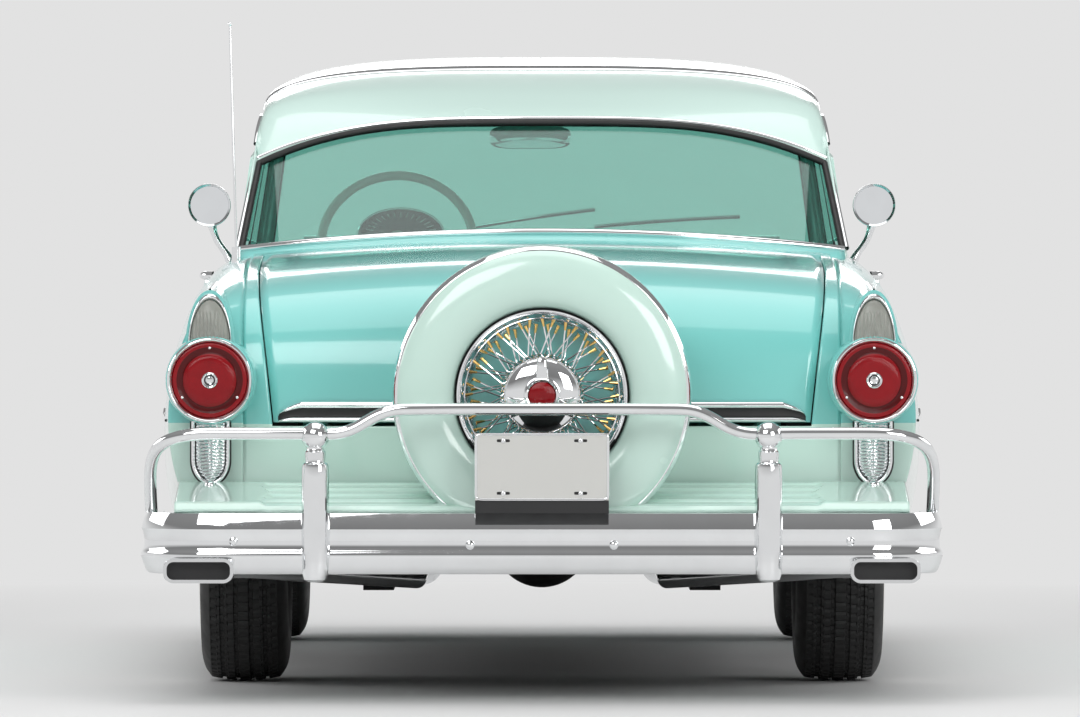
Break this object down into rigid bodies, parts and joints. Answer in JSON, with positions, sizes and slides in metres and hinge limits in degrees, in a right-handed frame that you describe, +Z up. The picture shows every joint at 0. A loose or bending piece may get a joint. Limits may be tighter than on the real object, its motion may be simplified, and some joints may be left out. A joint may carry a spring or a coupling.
{
  "type": "two-door hardtop car",
  "caption": "1950s two-door hardtop car with a carried spare wheel behind the boot, opening doors, hood and boot lid, steered front wheels and a hollow cabin.",
  "frame": {"origin": "on the ground below the middle of the car's box", "axes": "+Y forward, +X to the car's right, +Z up"},
  "size_m": [1.864, 5.2639, 1.5969],
  "materials": {
    "aqua_paint": "gloss",
    "mint_paint": "gloss",
    "chrome": "polished",
    "glass": "clear",
    "red_lens": "gloss",
    "clear_lens": "gloss",
    "tyre": "matte",
    "dark_steel": "satin",
    "cast_iron": "rough",
    "seat_vinyl": "satin",
    "plate_white": "gloss",
    "wheel_rim_plastic": "gloss"
  },
  "bodies": {
    "body": {"rear_body": "aqua_paint", "front_fenders": "aqua_paint", "cowl": "aqua_paint", "nose_panel": "aqua_paint", "dashboard": "aqua_paint", "roof": "mint_paint", "rear_apron": "mint_paint", "spare_cover": "mint_paint", "crown_band": "chrome", "rear_bumper": "chrome", "bumper_guards": "chrome", "bumper_rail": "chrome", "front_bumper": "chrome", "tail_trim": "chrome", "grille": "chrome", "aerial": "chrome", "spare_wheel": "chrome", "rear_glass": "glass", "windshield": "glass", "quarter_glass": "glass", "tail_lenses": "red_lens", "backup_lenses": "clear_lens", "headlamps": "clear_lens", "frame": "dark_steel", "floor_pan": "dark_steel", "plate_bracket": "dark_steel", "spare_carrier": "dark_steel", "exhaust": "dark_steel", "fuel_tank": "dark_steel", "driveshaft": "dark_steel", "leaf_springs": "dark_steel", "front_arms": "dark_steel", "steering_column": "dark_steel", "engine": "cast_iron", "rear_axle": "cast_iron", "front_seat": "seat_vinyl", "rear_seat": "seat_vinyl", "parcel_shelf": "seat_vinyl", "number_plate": "plate_white"},
    "hood": {"hood": "aqua_paint"},
    "boot_lid": {"boot_lid": "aqua_paint"},
    "door_left": {"door_left": "aqua_paint", "door_glass_left": "glass", "mirror_left": "chrome"},
    "door_right": {"door_right": "aqua_paint", "door_glass_right": "glass", "mirror_right": "chrome"},
    "knuckle_left": {"knuckle_left": "cast_iron"},
    "knuckle_right": {"knuckle_right": "cast_iron"},
    "wheel_front_left": {"tyre_front_left": "tyre", "wheel_front_left": "chrome"},
    "wheel_front_right": {"tyre_front_right": "tyre", "wheel_front_right": "chrome"},
    "wheel_rear_left": {"tyre_rear_left": "tyre", "wheel_rear_left": "chrome"},
    "wheel_rear_right": {"tyre_rear_right": "tyre", "wheel_rear_right": "chrome"},
    "steering_wheel": {"steering_wheel": "wheel_rim_plastic"}
  },
  "joints": [
    {"name": "boot_lid_hinge", "type": "hinge", "parent": "body", "child": "boot_lid", "pos_m": [0, -1.319, 1.0765], "axis": [-1, 0, 0], "range_deg": [0, 62]},
    {"name": "hood_hinge", "type": "hinge", "parent": "body", "child": "hood", "pos_m": [0, 1.165, 1.1025], "axis": [1, 0, 0], "range_deg": [0, 50]},
    {"name": "door_left_hinge", "type": "hinge", "parent": "body", "child": "door_left", "pos_m": [-0.928, 0.748, 0.7], "axis": [0, 0, -1], "range_deg": [0, 62]},
    {"name": "door_right_hinge", "type": "hinge", "parent": "body", "child": "door_right", "pos_m": [0.928, 0.748, 0.7], "axis": [0, 0, 1], "range_deg": [0, 62]},
    {"name": "steer_left", "type": "hinge", "parent": "body", "child": "knuckle_left", "pos_m": [-0.655, 1.782, 0.346], "axis": [0, 0, 1], "range_deg": [-30, 30]},
    {"name": "steer_right", "type": "hinge", "parent": "body", "child": "knuckle_right", "pos_m": [0.655, 1.782, 0.346], "axis": [0, 0, 1], "range_deg": [-30, 30]},
    {"name": "steering_wheel_turn", "type": "hinge", "parent": "body", "child": "steering_wheel", "pos_m": [-0.37, 0.258, 1.062], "axis": [0, -0.9063, 0.4226], "range_deg": [-600, 600]},
    {"name": "spin_front_left", "type": "hinge", "parent": "knuckle_left", "child": "wheel_front_left", "pos_m": [-0.737, 1.782, 0.346], "axis": [-1, 0, 0], "continuous": true},
    {"name": "spin_front_right", "type": "hinge", "parent": "knuckle_right", "child": "wheel_front_right", "pos_m": [0.737, 1.782, 0.346], "axis": [-1, 0, 0], "continuous": true},
    {"name": "spin_rear_left", "type": "hinge", "parent": "body", "child": "wheel_rear_left", "pos_m": [-0.72, -1.152, 0.346], "axis": [-1, 0, 0], "continuous": true},
    {"name": "spin_rear_right", "type": "hinge", "parent": "body", "child": "wheel_rear_right", "pos_m": [0.72, -1.152, 0.346], "axis": [-1, 0, 0], "continuous": true}
  ],
  "couplings": [
    {"joint": "steer_right", "follows": "steer_left", "ratio": 1},
    {"joint": "steering_wheel_turn", "follows": "steer_left", "ratio": 20}
  ]
}
